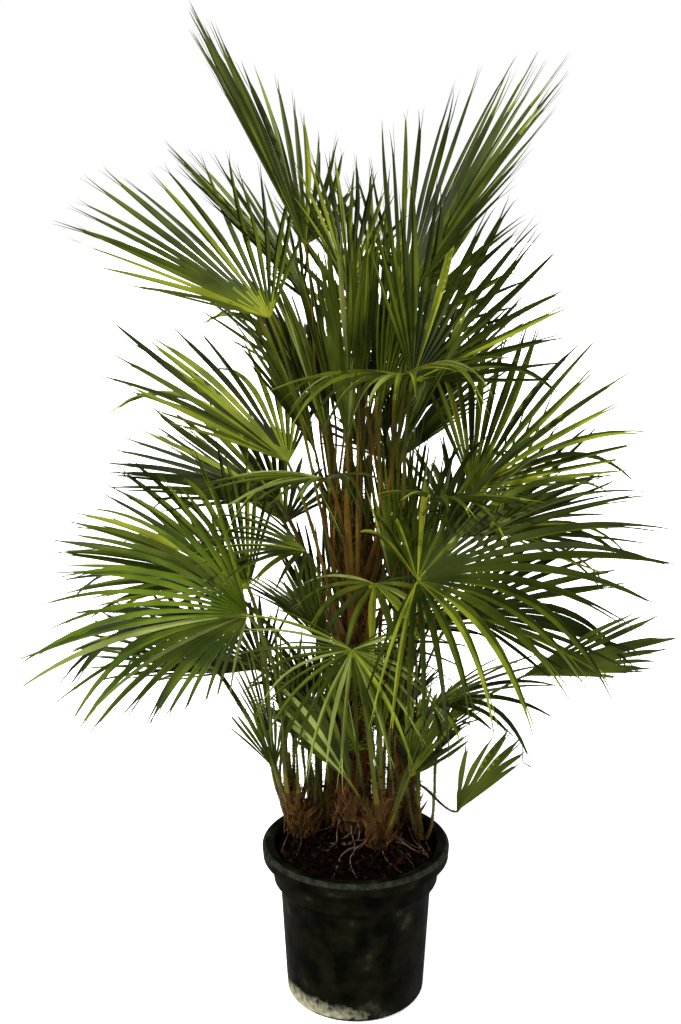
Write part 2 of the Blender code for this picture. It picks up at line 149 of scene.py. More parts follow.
# The rules of a blade and its stalk, as in the solids, whose stalks are thicker
PALMATE_SHARE = 0.3
FOLD_POWER = 1.5
DROOP_POWER = 1.6
STALK_FOOT = 0.0048
STALK_TIP = 0.0034
STALK_STEP = 0.006
STALK_RISE = 0.6
STALK_LEAN = 0.25
STALK_LEAVING = 0.35
STALK_ARRIVAL = 0.3
STALK_PULL = 0.45

# How a leaflet may differ from its neighbours, least and most
LENGTHS = (0.94, 1.06)
LIFTS = (-0.13, 0.13)
LEANS = (-0.15, 0.15)
STIFF_SAGS = (-0.04, 0.1)
LIMP_SAGS = (0.4, 1.7)
TWISTS = (-28, 28)
FORKS = (0.74, 0.95)
SPREADS = (0.001, 0.006)
PARTINGS = (1.0, 1.6)
HEARTS = (0.3, 1.3)
SPLITS_VARY = 0.04

# Real leaflets
LIFT_POWER = 0.7
SAG_POWER = 1.4
TWIST_RATE = 1.5
EDGE_SHORTER = 0.25
JOINED_STEPS = (0.1, 0.28, 0.46, 0.64, 0.82)
FREE_STATIONS = 11
KEEL = 0.0011
TIP_KEEL = 0.35
PLEAT = 0.8
WIDEST = 1.8
FILLED = 0.82
TAPER = 2.6
HEART_CORE = 0.45
DRY_FROM = 0.93
POINT_STEPS = (0.25, 0.5, 0.75)
POINT_DRY = 0.7
LOW_HEADING = 0.1
LOW_LIMP = 2.4
HIGH_LIMP = 0.7
NEAR = 0.02
RIB_STEPS = 24
LEAF_SEED = 40

# Real stalks
STALK_STATIONS = 22
STALK_SIDES = 8
STALK_ROOT = 0.018
STALK_SUNK = 0.4
STALK_FLATNESS = 0.85
FLAT_TOP = 0.45
INTO_BLADE = (0.02, 0.05)
END_WIDTH = 0.3
END_THICKNESS = 0.2
STOUT_BEHIND = 0.09
STOUTNESS = 1.35
TAN_UP_TO = 1.7
SUNK_WIDTH = 0.6
TALL_START = 60
FOOT_WIDENING = 0.7
TALL_WIDENING = 1.7
WIDE_SHARE = 5.0
TALL_BROWN = (0.14, 0.34)
LOW_BROWN = (0.03, 0.12)
SPINY = slice(4, -3)
SPINE_LENGTHS = (0.004, 0.009)
SPINE_HALF = 0.0012
SPINE_HEIGHT = 0.0009
SPINE_SUNK = 0.93

# Stems
STEM_SEED = 90
CORE_ROWS = 90
CORE_SIDES = 36
CORE_SUNK = 0.006
CORE_ROUGH = 0.005
BASE_SPACING = 0.015
BASE_ROWS = 12
BASE_SIDES = 10
BASES_UP_TO = 0.94
BASE_LENGTHS = (0.05, 0.08)
UPPER_BASE = 0.3
UPPER_FROM = 0.45
UPPER_RATE = 1.9
UPPER_LENGTHS = (0.4, 1.0)
BASE_WIDTHS = (0.62, 0.8)
BASE_LEANS = (0.002, 0.008)
BASE_PROUD = 0.001
BASE_TURN = 0.1
BASE_EDGE = 0.003
BASE_THINNING = 0.3
BASE_WRAP = 2.4
BASE_FLATNESS = 0.8
BASE_END = 0.0048
SHEATH = 0.07
TOP_CLOSING = 0.45
STUBS = 26
STUB_REACH = 0.05
STUB_OUT = (0.35, 0.9)
STUB_UP = (0.4, 1.0)
STUB_LENGTHS = (0.022, 0.048)
STUB_WIDTHS = (0.004, 0.008)
STUB_PARTS = (0.0, 0.35, 0.7, 1.0)
STUB_TAPER = (1.0, 0.8, 0.5, 0.12)
STUB_CURL = 0.006
STUB_FLATNESS = 0.45
FIBRES_PER_METRE = 1500
FIBRES_UP_TO = 0.85
FIBRE_ROWS = 6
FIBRE_RISES = (0.03, 0.11)
FIBRE_TWISTS = (0.5, 1.5)
FIBRE_LIFTS = (-0.001, 0.007)
FIBRE_RADII = (0.0004, 0.0009)
FIBRE_TAPER = 0.7
LOOSE_FIBRES = 0.35
LOOSE_ENDS = (0.0, 0.022)
RUSTY_FIBRES = 0.88

# Basal shoots among the stems: foot (cm), count of leaves, height (cm) and turn of the first leaf
Shoot = namedtuple("Shoot", "foot leaves height turn")
SHOOTS = (
    Shoot((-5.8, 4.6), 6, 24, 150),
    Shoot((-7.4, 8.6), 6, 27, 80),
    Shoot((4.2, 10.8), 6, 27, 10),
    Shoot((4.8, -0.2), 5, 24, 250),
    Shoot((12.8, -0.4), 5, 23, 330),
)
SHOOT_SEED = 300
SHOOT_OUTS = (2.0, 6.0)
SHOOT_HEIGHTS = (0.55, 1.0)
SHOOT_TILTS = (30, 72)
SHOOT_ROLLS = (-60, 60)
SHOOT_REACHES = (11, 17)
SHOOT_HALVES = (22, 50)
SHOOT_LEAFLETS = (5, 9)
SHOOT_FOLD = 10
SHOOT_DROOP = 0.25
SHOOT_SHORT = 0.25

# Young leaves in the hearts of the stems: their counts, and measures of the youngest and the oldest
YOUNG = {"main": 20, "right": 12, "left": 8, "back": 8, "front": 6}
YOUNG_RISES = (0.3, 0.12)
YOUNG_HALVES = (5, 30)
YOUNG_TILTS = (86, 62)
YOUNG_STARTS = (0.82, 0.95)
YOUNG_ROLLS = (-70, 70)
YOUNG_FOLD = 8
YOUNG_DROOP = 0.05
YOUNG_SHORT = 0.2

# A dry thread that hangs from the low right fan (cm)
THREAD = ((31.2, 0.2, 64.2), (31.6, -0.3, 58), (31.2, -0.5, 52), (31.5, -0.6, 47.4), (33.0, -0.6, 46.4))
THREAD_RADII = (0.0009, 0.0007, 0.0006, 0.001, 0.0014)

# Light
ROOM_LIGHT = 1.0
SUNS = (
    ("key", (-0.6, -0.75, 1.0), 9.5, 5),
    ("side", (0.9, -0.3, 0.8), 2.6, 30),
    ("front", (0.1, -1.0, 0.45), 2.4, 40),
)

# Pot and soil
POT_SIDES = 160
INNER_BEND = 0.006
LIP_GAP = 0.0005
STEP_BEND = 0.003
COLLAR_BEND = 0.004
FOOT_RISE = 0.0025
STAIN_SIDE = (-0.8, -0.6, 0.0)
STAIN_HEIGHT = 0.06
STAIN_FROM, STAIN_FULL = 0.015, 0.15
STAIN_COLOUR = (0.145, 0.138, 0.09, 1.0)
# Beyond this radius the lip's top is paler: wear with a painted highlight
LIP_WEAR_AND_HIGHLIGHT_FROM = 0.173
SOIL_RADIUS = COLLAR_RADIUS - WALL - 0.001
SOIL_ROWS = 40
SOIL_SIDES = 120
SOIL_HEAP = 0.004
SOIL_LUMPS = 0.006
LUMP_SCALE = 26.0
SOIL_SKIRT = 0.02
SOIL_SEED = 7
CRUMBS = 1600
CRUMB_SIZES = (0.0025, 0.0035, 0.005, 0.008)
ROOTS = 90
ROOT_COUNTS = (6, 16)
ROOT_STEP = 0.008
ROOT_WANDER = 0.45
ROOT_RISES = (0.004, 0.03)
ROOT_RADII = (0.0006, 0.0022)
ROOT_TAPER = 0.7


# Small tools

def mix(low, high, share):
    return low + (high - low) * share


def smooth(share):
    share = min(1.0, max(0.0, share))
    return share * share * (3.0 - 2.0 * share)


def turns(count):
    """The angles of so many even steps round a circle."""
    return [2 * pi * index / count for index in range(count)]


def circle(radius, height, sides):
    return [(radius * cos(turn), radius * sin(turn), height) for turn in turns(sides)]


class Net:
    """Points and faces gathered for one mesh, with a material number for each face."""

    def __init__(self):
        self.points = []
        self.faces = []
        self.slots = []

    def ring(self, places):
        first = len(self.points)
        self.points.extend(tuple(place) for place in places)
        return list(range(first, first + len(places)))

    def face(self, corners, slot):
        self.faces.append(tuple(corners))
        self.slots.append(slot)

    def bridge(self, low, high, slots):
        """Quads between two closed rings of the same count."""
        count = len(low)
        for index in range(count):
            after = (index + 1) % count
            slot = slots[index] if isinstance(slots, (list, tuple)) else slots
            self.face((low[index], low[after], high[after], high[index]), slot)

    def fan_to(self, ring, tip, slots):
        count = len(ring)
        for index in range(count):
            slot = slots[index] if isinstance(slots, (list, tuple)) else slots
            self.face((ring[index], ring[(index + 1) % count], tip), slot)

    def join(self, low, high, slot):
        """Faces between two rings, of which either may be a single point."""
        if len(low) == 1:
            self.fan_to(high, low[0], slot)
        elif len(high) == 1:
            self.fan_to(low, high[0], slot)
        else:
            self.bridge(low, high, slot)

    def cap(self, ring, slot):
        self.face(ring, slot)

    def object(self, name, materials, sharp=None):
        mesh = bpy.data.meshes.new(name)
        mesh.from_pydata(self.points, [], self.faces)
        for item in materials:
            mesh.materials.append(item)
        mesh.polygons.foreach_set("material_index", self.slots)
        mesh.update()
        shape = bmesh.new()
        shape.from_mesh(mesh)
        bmesh.ops.recalc_face_normals(shape, faces=shape.faces)
        shape.to_mesh(mesh)
        shape.free()
        mesh.shade_smooth()
        if sharp:
            mesh.set_sharp_from_angle(angle=radians(sharp))
        made = bpy.data.objects.new(name, mesh)
        bpy.context.scene.collection.objects.link(made)
        return made


def frame_along(points):
    """At each point of a line: its heading and two steady directions across it."""
    frames = []
    side = None
    for index, point in enumerate(points):
        ahead = points[min(index + 1, len(points) - 1)] - points[max(index - 1, 0)]
        ahead.normalize()
        if side is None:
            side = ahead.orthogonal().normalized()
        side = (side - ahead * side.dot(ahead)).normalized()
        frames.append((ahead, side, ahead.cross(side)))
    return frames


def add_tube(net, points, radii, sides, slot, flat=1.0):
    """A closed tube along these points; its ends are points where the radius is nought."""
    rings = []
    for point, radius, (_, side, other) in zip(points, radii, frame_along(points)):
        rings.append(net.ring([point + side * (radius * cos(turn)) + other * (radius * flat * sin(turn))
                               for turn in turns(sides)]))
    for low, high in zip(rings, rings[1:]):
        net.bridge(low, high, slot)
    net.cap(rings[0][::-1], slot)
    net.cap(rings[-1], slot)


# Materials

def shader_of(name, roughness=0.6, specular=0.5):
    made = bpy.data.materials.new(name)
    made.use_nodes = True
    shader = made.node_tree.nodes["Principled BSDF"]
    shader.inputs["Roughness"].default_value = roughness
    shader.inputs["Specular IOR Level"].default_value = specular
    return made, made.node_tree, shader


def node(tree, kind, **values):
    made = tree.nodes.new(kind)
    for key, value in values.items():
        if key in made.inputs:
            made.inputs[key].default_value = value
        else:
            setattr(made, key, value)
    return made


def ramp(tree, source, stops):
    made = tree.nodes.new("ShaderNodeValToRGB")
    bar = made.color_ramp
    while len(bar.elements) < len(stops):
        bar.elements.new(0.5)
    for element, (place, colour) in zip(bar.elements, stops):
        element.position = place
        element.color = (*colour, 1.0)
    tree.links.new(source, made.inputs["Fac"])
    return made


def object_noise(tree, scale, detail=4.0, stretch=(1.0, 1.0, 1.0)):
    place = node(tree, "ShaderNodeTexCoord")
    turn = node(tree, "ShaderNodeMapping")
    turn.inputs["Scale"].default_value = stretch
    spots = node(tree, "ShaderNodeTexNoise", Scale=scale, Detail=detail)
    tree.links.new(place.outputs["Object"], turn.inputs["Vector"])
    tree.links.new(turn.outputs["Vector"], spots.inputs["Vector"])
    return spots.outputs["Fac"]


def bump(tree, shader, height, strength, distance):
    made = node(tree, "ShaderNodeBump", Strength=strength, Distance=distance)
    tree.links.new(height, made.inputs["Height"])
    tree.links.new(made.outputs["Normal"], shader.inputs["Normal"])


def patched_material(name, shine, patches, stops, grain, depth):
    """Colour in patches between two or more shades, over a fine grain that stands so deep."""
    made, tree, shader = shader_of(name, *shine)
    colour = ramp(tree, object_noise(tree, *patches), stops)
    tree.links.new(colour.outputs["Color"], shader.inputs["Base Color"])
    bump(tree, shader, object_noise(tree, *grain), *depth)
    return made


def leaf_material(name, dark, light):
    return patched_material(name, LEAF_SHINE, (9.0, 3.0), [(0.36, dark), (0.66, light)],
                            (420.0, 2.0), (0.25, 0.0006))


LEAF_COLOURS = {
    "leaf_deep": ((0.0034, 0.0058, 0.0004), (0.0115, 0.016, 0.001)),
    "leaf_green": ((0.009, 0.014, 0.0009), (0.03, 0.0385, 0.0025)),
    "leaf_olive": ((0.033, 0.0405, 0.0026), (0.088, 0.1, 0.0066)),
    "leaf_grey": ((0.04, 0.05, 0.01), (0.085, 0.1, 0.024)),
    "leaf_heart": ((0.031, 0.036, 0.0014), (0.066, 0.069, 0.003)),
    "leaf_dry": ((0.01, 0.0075, 0.0036), (0.034, 0.025, 0.012)),
    "leaf_fresh": ((0.012, 0.022, 0.0009), (0.04, 0.06, 0.003)),
    "stalk_green": ((0.012, 0.015, 0.0016), (0.03, 0.031, 0.004)),
    "stalk_tan": ((0.018, 0.015, 0.0017), (0.044, 0.0345, 0.0042)),
    "stalk_brown": ((0.019, 0.0102, 0.0012), (0.052, 0.0285, 0.003)),
    "stalk_dark": ((0.009, 0.0052, 0.0014), (0.026, 0.014, 0.0034)),
}
LEAVES = list(LEAF_COLOURS)
LEAF_SHINE = (0.5, 0.025)
DEEP, GREEN, OLIVE, GREY, HEART, DRY, FRESH, STALK, TAN, BROWN, DARK = range(len(LEAVES))

# How a fan looks: its two greens, real leaflets to each one of the solid, how far these are joined,
# how far its bright heart reaches and how many leaflets hang; others have the plain look
Look = namedtuple("Look", "tone other leaflets split heart limp")
PLAIN = Look(GREEN, DEEP, 1.35, 0.2, 0.08, 0.12)
LOOKS = {
    "top_left": Look(GREEN, DEEP, 1.5, 0.26, 0.06, 0.0),
    "top_right": Look(GREEN, DEEP, 1.75, 0.22, 0.1, 0.0),
    "top_back": Look(OLIVE, GREEN, 1.5, 0.26, 0.24, 0.0),
    "upper_left": Look(GREEN, GREEN, 1.35, 0.19, 0.16, 0.0),
    "dark_left": Look(DEEP, DEEP, 1.35, 0.22, 0.04, 0.08),
    "top_far_left": Look(DEEP, GREY, 1.35, 0.2, 0.04, 0.0),
    "middle_left": Look(GREEN, OLIVE, 1.35, 0.24, 0.12, 0.08),
    "lower_left": Look(GREEN, DEEP, 1.6, 0.21, 0.08, 0.14),
    "low_left": Look(FRESH, GREEN, 1.6, 0.195, 0.03, 0.12),
    "upper_right": Look(DEEP, GREEN, 1.35, 0.22, 0.08, 0.08),
    "middle_right": Look(OLIVE, GREEN, 1.35, 0.19, 0.26, 0.08),
    "lower_right": Look(GREEN, DEEP, 1.6, 0.155, 0.05, 0.3),
    "far_right": Look(GREEN, DEEP, 1.35, 0.14, 0.1, 0.12),
    "low_right": Look(GREEN, DEEP, 1.25, 0.36, 0.12, 0.0),
    "under_right": Look(DEEP, GREEN, 1.35, 0.2, 0.04, 0.2),
    "under_left": Look(DEEP, GREEN, 1.35, 0.3, 0.04, 0.2),
    "small_right": Look(GREEN, OLIVE, 0.86, 0.28, 0.1, 0.0),
    "small_front": Look(GREEN, OLIVE, 1.4, 0.42, 0.14, 0.0),
    "small_left": Look(DEEP, DEEP, 1.4, 0.4, 0.05, 0.0),
    "centre": Look(OLIVE, GREY, 1.3, 0.14, 0.1, 0.45),
    "centre_left": Look(GREEN, GREY, 1.3, 0.14, 0.1, 0.35),
    "centre_right": Look(GREEN, OLIVE, 1.3, 0.14, 0.1, 0.35),
    "inner_left": Look(GREEN, DEEP, 1.3, 0.14, 0.06, 0.35),
    "inner_right": Look(DEEP, GREEN, 1.3, 0.14, 0.06, 0.25),
    "front": Look(GREEN, GREY, 1.5, 0.1, 0.06, 0.55),
    "front_centre": Look(GREEN, GREY, 1.2, 0.14, 0.08, 0.4),
}
# Darker slots for the far half of a leaflet: painted shade of its fold, not a colour of the leaf
PAINTED_FOLD_SHADE = {HEART: GREEN, OLIVE: GREEN, GREY: GREEN, FRESH: GREEN, GREEN: DEEP}
DRY_TIPS = 0.6
GREY_UNDERSIDES = 0.1
# How many leaflets get the painted shade on their far half
PAINTED_SHADE_SHARE = 0.8
YOUNG_LOOK = Look(GREEN, DEEP, 1.5, 0.26, 0.1, 0.0)
SHOOT_LOOK = Look(DEEP, GREEN, 1.3, 0.24, 0.04, 0.15)


# The rules of a blade, as in the solids

def blade_axes(fan):
    azimuth, elevation = radians(fan.aim[0]), radians(fan.aim[1])
    along = Vector((cos(azimuth) * cos(elevation), sin(azimuth) * cos(elevation), sin(elevation)))
    face = Vector((-cos(azimuth) * sin(elevation), -sin(azimuth) * sin(elevation), cos(elevation)))
    side = face.cross(along)
    turned_face = face * cos(radians(fan.roll)) + side * sin(radians(fan.roll))
    return along, turned_face, turned_face.cross(along)


def leaflet_heading(fan, angle):
    along, face, across = blade_axes(fan)
    fold = tan(radians(fan.fold)) * abs(sin(angle)) ** FOLD_POWER
    return (along * cos(angle) + across * sin(angle) + face * fold).normalized()


def leaflet_length(fan, angle):
    share = angle / radians(fan.half)
    return fan.reach * CM * (1.0 - fan.short * share * share)


def rib(fan, angle, habit):
    """The leaflet's centre line from the hub, with this leaflet's own lift, lean and droop."""
    heading = leaflet_heading(fan, angle)
    across = across_rib(fan, angle)
    step = leaflet_length(fan, angle) * habit.length / RIB_STEPS
    spots = [Vector(fan.hub) * CM]
    for index in range(RIB_STEPS):
        share = (index + 0.5) / RIB_STEPS
        free = max(0.0, share - PALMATE_SHARE) / (1.0 - PALMATE_SHARE)
        bend = habit.lift * free ** LIFT_POWER - fan.droop * share ** DROOP_POWER
        bend -= habit.sag * free ** SAG_POWER
        way = heading + UP * bend + across * (habit.lean * free)
        spots.append(spots[-1] + way.normalized() * step)
    return spots


def along_rib(spots, share):
    place = share * (len(spots) - 1)
    index = min(int(place), len(spots) - 2)
    return spots[index].lerp(spots[index + 1], place - index)


def across_rib(fan, angle):
    return (leaflet_heading(fan, angle + NEAR) - leaflet_heading(fan, angle - NEAR)).normalized()


# The real leaflets of a fan

Habit = namedtuple("Habit", "length lift lean sag twist fork spread parting")
STILL = Habit(1.0, 0.0, 0.0, 0.0, 0.0, 1.0, 0.0, 0.0)


def habit_of(draw, limp):
    sag = draw.uniform(*STIFF_SAGS)
    if draw.random() < limp:
        sag = draw.uniform(*LIMP_SAGS)
    length, lift, lean = (draw.uniform(*limits) for limits in (LENGTHS, LIFTS, LEANS))
    twist, fork, spread, parting = (draw.uniform(*limits) for limits in (TWISTS, FORKS, SPREADS, PARTINGS))
    return Habit(length, lift, lean, sag, radians(twist), fork, spread, parting)


def split_shares(draw, look, count):
    """How far out each joint between two leaflets stays closed; the outermost are the shortest."""
    shares = []
    for index in range(count + 1):
        edge = abs(2 * index / count - 1)
        shares.append(look.split * (1.0 - EDGE_SHORTER * edge ** 3) + draw.uniform(-SPLITS_VARY, SPLITS_VARY))
    return shares


def leaflet_shades(draw, look):
    """The slots of a leaflet's top, underside and tip, and what its far half has in place of each: darker
    slots, painted shade of the fold.
    """
    top = draw.choice((look.tone, look.tone, look.other, look.other, OLIVE, DEEP))
    under = GREY if draw.random() < GREY_UNDERSIDES else draw.choice((look.tone, GREEN))
    tip = DRY if draw.random() < DRY_TIPS else top
    return top, under, tip, PAINTED_FOLD_SHADE if draw.random() < PAINTED_SHADE_SHARE else {}


def half_width(free, split, joined):
    """Half a free leaflet's width: it fills its place, then keeps its width, then comes to a tip."""
    place = joined * mix(split, 1.0, free) / split * FILLED
    return min(place, joined * WIDEST) * (1.0 - free ** TAPER)


def leaflet_stations(left_split, right_split):
    """Shares of the rib at which a leaflet's section is placed: left margin, rib, right margin."""
    rows = []
    for step in JOINED_STEPS:
        rows.append((left_split * step, (left_split + right_split) / 2 * step, right_split * step, 0.0))
    for index in range(FREE_STATIONS):
        free = index / FREE_STATIONS
        left = mix(left_split, 1.0, free)
        right = mix(right_split, 1.0, free)
        rows.append((left, (left + right) / 2, right, free))
    return rows


def margin(fan, angle, gap, share):
    """The place on the raised fold that two joined leaflets share."""
    place, _, up = rib_frame(fan, rib(fan, angle, STILL), share)
    return place + up * (PLEAT * share * leaflet_length(fan, angle) * gap / 2)


def rib_frame(fan, spots, share):
    """A place on the rib, the way ahead and the way out of the leaflet's face."""
    ahead = along_rib(spots, min(1.0, share + NEAR)) - along_rib(spots, max(0.0, share - NEAR))
    ahead.normalize()
    face = blade_axes(fan)[1]
    return along_rib(spots, share), ahead, (face - ahead * face.dot(ahead)).normalized()


def leaflet_shade(middle, free, heart, top, tip):
    if middle < heart * HEART_CORE:
        return HEART
    if middle < heart:
        return OLIVE
    return tip if free > DRY_FROM else top


def add_leaflet(net, fan, angle, gap, splits, habit, shades, heart):
    """One leaflet as a closed folded strip, joined to its neighbours as far as its splits."""
    spots = rib(fan, angle, habit)
    widest = [split * leaflet_length(fan, angle) * gap / 2 for split in splits]
    hub = net.ring([spots[0]])[0]
    last = None
    top, under, tip, painted_fold_shade = shades
    for left, middle, right, free in leaflet_stations(*splits):
        if free > habit.fork:
            break
        centre, ahead, up = rib_frame(fan, spots, middle)
        if free == 0.0:
            edges = [margin(fan, angle - gap / 2, gap, left), margin(fan, angle + gap / 2, gap, right)]
        else:
            up = Matrix.Rotation(habit.twist * smooth(free * TWIST_RATE), 3, ahead) @ up
            across = up.cross(ahead)
            spans = [half_width(free, split, wide) for split, wide in zip(splits, widest)]
            edges = [centre + (across * sign + up * PLEAT) * span for sign, span in zip((-1, 1), spans)]
        keel = KEEL * (TIP_KEEL + (1.0 - TIP_KEEL) * (1.0 - free))
        ring = net.ring((edges[0], centre, edges[1], centre - up * keel))
        shade = leaflet_shade(middle, free, heart, top, tip)
        if last:
            # The far half of the top takes the darker slot: painted shade of the fold
            net.bridge(last, ring, (shade, painted_fold_shade.get(shade, shade), under, under))
        else:
            net.fan_to(ring[::-1], hub, HEART)
        last, fork_share, fork_free = ring, middle, free
    span = half_width(fork_free, sum(splits) / 2, sum(widest) / 2)
    for side, first in ((-1, (last[0], last[1], last[3])), (1, (last[2], last[1], last[3]))):
        add_point(net, fan, spots, habit, fork_share, side, span, first, shades)


def add_point(net, fan, spots, habit, fork_share, side, span, first, shades):
    """One of the two points that a leaflet's end splits into."""
    top, under, tip, _ = shades
    last = list(first)
    for part in POINT_STEPS:
        share = mix(fork_share, 1.0, part)
        centre, ahead, up = rib_frame(fan, spots, share)
        up = Matrix.Rotation(habit.twist, 3, ahead) @ up
        across = up.cross(ahead) * side
        wide = span * 0.5 * (1.0 - part)
        place = centre + across * (span * 0.5 + habit.spread * part)
        ring = net.ring((place + across * wide + up * PLEAT * wide, place - across * wide,
                         place - up * KEEL * TIP_KEEL))
        shade = tip if part > POINT_DRY else top
        net.bridge(last, ring, (shade, under, under))
        last = ring
    centre, ahead, up = rib_frame(fan, spots, 1.0)
    up = Matrix.Rotation(habit.twist, 3, ahead) @ up
    end = centre + up.cross(ahead) * side * (span * 0.5 + habit.spread) * habit.parting
    net.fan_to(last, net.ring([end])[0], tip)


def add_blade(net, fan, draw, look):
    count = round(fan.leaflets * look.leaflets)
    gap = 2 * radians(fan.half) / count
    splits = split_shares(draw, look, count)
    for index in range(count):
        angle = -radians(fan.half) + gap * (index + 0.5)
        heart = look.heart * draw.uniform(*HEARTS)
        limp = look.limp * (LOW_LIMP if leaflet_heading(fan, angle).z < LOW_HEADING else HIGH_LIMP)
        add_leaflet(net, fan, angle, gap, splits[index:index + 2], habit_of(draw, limp),
                    leaflet_shades(draw, look), heart)


# A fan's stalk

def stalk_line(fan, foot, out):
    along = blade_axes(fan)[0]
    hub = Vector(fan.hub) * CM
    span = (hub - foot).length
    chord = (hub - foot).normalized()
    first = foot + out * STALK_STEP
    leave = first + (UP * STALK_RISE + out * STALK_LEAN).normalized() * span * STALK_LEAVING
    arrive = hub - (along * STALK_PULL + chord).normalized() * span * STALK_ARRIVAL
    line = []
    for index in range(STALK_STATIONS):
        share = index / (STALK_STATIONS - 1)
        rest = 1.0 - share
        line.append(first * rest ** 3 + leave * (3 * rest * rest * share)
                    + arrive * (3 * rest * share * share) + hub * share ** 3)
    return line


def stalk_foot(fan, stem):
    share = (fan.start * CM - SOIL_TOP) / (stem.top[2] * CM - SOIL_TOP)
    centre = stem_axis(stem, share)
    away = Vector(fan.hub) * CM - centre
    away.z = 0.0
    away.normalize()
    return centre + away * stem_radius(stem, share), away


def stem_axis(stem, share):
    foot = Vector((stem.foot[0] * CM, stem.foot[1] * CM, SOIL_TOP + CLEAR))
    top = Vector(stem.top) * CM
    lean = share * share * (3.0 - 2.0 * share)
    return Vector((mix(foot.x, top.x, lean), mix(foot.y, top.y, lean), mix(foot.z, top.z, share)))


def stem_radius(stem, share):
    height = (stem.top[2] * CM - SOIL_TOP) * share
    waist = mix(stem.waist_radius, stem.top_radius, share)
    flare = max(0.0, 1.0 - height / FLARE_HEIGHT) ** 2
    return (waist + (stem.foot_radius - stem.waist_radius) * flare) * CM


def stalk_section(point, wide, thick, across, up):
    """A section with a flat top and a rounded underside."""
    places = []
    for turn in turns(STALK_SIDES):
        height = sin(turn) * (FLAT_TOP if sin(turn) > 0 else 1.0)
        places.append(point + across * (wide * cos(turn)) + up * (thick * height))
    return places


def stalk_slot(share, tall):
    """The brown of a stalk's foot, the paler band above it and then the green."""
    if share < 1.0:
        return BROWN if tall else DARK
    return TAN if share < TAN_UP_TO else STALK


def add_stalk(net, fan, foot, out, draw):
    line = stalk_line(fan, foot, out)
    hub = line[-1]
    along, face, _ = blade_axes(fan)
    line = [foot - out * STALK_ROOT] + line + [hub + along * step for step in INTO_BLADE]
    tall = fan.start > TALL_START
    stout = STOUTNESS if hub.y > STOUT_BEHIND else 1.0
    brown = draw.uniform(*(TALL_BROWN if tall else LOW_BROWN))
    widening = TALL_WIDENING if tall else FOOT_WIDENING
    last = None
    rings = []
    for index, point in enumerate(line):
        share = index / (len(line) - 1)
        ahead = (line[min(index + 1, len(line) - 1)] - line[max(index - 1, 0)]).normalized()
        up = out.lerp(face, smooth(share)) if index else UP
        up = (up - ahead * up.dot(ahead)).normalized()
        across = up.cross(ahead)
        wide = mix(STALK_FOOT, STALK_TIP, smooth(share * 2)) * stout
        thick = wide * STALK_FLATNESS
        wide *= 1.0 + widening * max(0.0, 1.0 - share * WIDE_SHARE) if index else SUNK_WIDTH
        if index == len(line) - 1:
            wide, thick = wide * END_WIDTH, thick * END_THICKNESS
        ring = net.ring(stalk_section(point - up * thick * STALK_SUNK, wide, thick, across, up))
        slot = stalk_slot((point - foot).length / brown, tall)
        if last:
            net.bridge(last, ring, slot)
        last = ring
        rings.append((point, across, up, wide))
    net.cap(last, STALK)
    add_spines(net, rings[SPINY], draw)


def add_spines(net, rings, draw):
    """Two rows of short spines that point forward along the stalk's edges."""
    for (point, across, up, wide), (after, _, _, _) in zip(rings, rings[1:]):
        ahead = (after - point).normalized()
        for sign in (-1, 1):
            start = point.lerp(after, draw.random()) + across * (sign * wide * SPINE_SUNK)
            half = ahead * SPINE_HALF
            base = net.ring((start - half, start + up * SPINE_HEIGHT, start + half))
            out = across * (sign * draw.uniform(*SPINE_LENGTHS))
            tip = net.ring([start + out + ahead * SPINE_LENGTHS[0]])[0]
            net.fan_to(base, tip, STALK)


def ring_fan(index, row):
    """A fan of the crown's far side or inside, placed by its direction from its stem's top."""
    stem = STEMS[row.stem]
    way = radians(row.azimuth)
    hub = (stem.top[0] + row.out * cos(way), stem.top[1] + row.out * sin(way), row.height)
    roll = RING_ROLL if index % 2 else -RING_ROLL
    return Fan(row.stem, row.start, hub, (row.azimuth, row.tilt), roll, row.reach, RING_HALF,
               RING_FOLD, RING_DROOP, RING_SHORT, RING_LEAFLETS)


def all_fans():
    fans = dict(FANS)
    for index, row in enumerate(RING_FANS):
        fans[f"ring_{index + 1:02d}"] = ring_fan(index, row)
    return fans


def make_fans(leaves):
    for index, (name, fan) in enumerate(all_fans().items()):
        draw = random.Random(LEAF_SEED + index)
        blade = Net()
        add_blade(blade, fan, draw, LOOKS.get(name, PLAIN))
        foot, out = stalk_foot(fan, STEMS[fan.stem])
        stalk = Net()
        add_stalk(stalk, fan, foot, out, draw)
        pieces = [blade.object(f"blade_{name}", leaves, 35), stalk.object(f"stalk_{name}", leaves, 50)]
        for piece in pieces:
            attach(piece, BODY)
            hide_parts(f"fan_{name}")


# The stems: bark, old leaf bases, fibre and unopened leaves

BROWNS = {
    "bark": ((0.0028, 0.0015, 0.0008), (0.014, 0.0068, 0.0028)),
    "base_brown": ((0.0075, 0.0036, 0.0012), (0.034, 0.016, 0.0048)),
    "base_tan": ((0.009, 0.0048, 0.0012), (0.032, 0.017, 0.0042)),
    "base_green": ((0.009, 0.008, 0.0014), (0.026, 0.022, 0.0042)),
    "fibre_rust": ((0.02, 0.0075, 0.002), (0.08, 0.03, 0.0078)),
    "fibre_straw": ((0.03, 0.018, 0.008), (0.11, 0.07, 0.033)),
}
BROWN_NAMES = list(BROWNS)
BARK, BASE_BROWN, BASE_TAN, BASE_GREEN, RUST, STRAW = range(len(BROWNS))
GOLDEN_TURN = radians(137.5)


def brown_material(name, dark, light):
    """Browns in upright streaks."""
    return patched_material(name, (0.85, 0.02), (60.0, 6.0, (1.0, 1.0, 0.18)), [(0.34, dark), (0.68, light)],
                            (260.0, 4.0, (1.0, 1.0, 0.12)), (0.6, 0.0012))


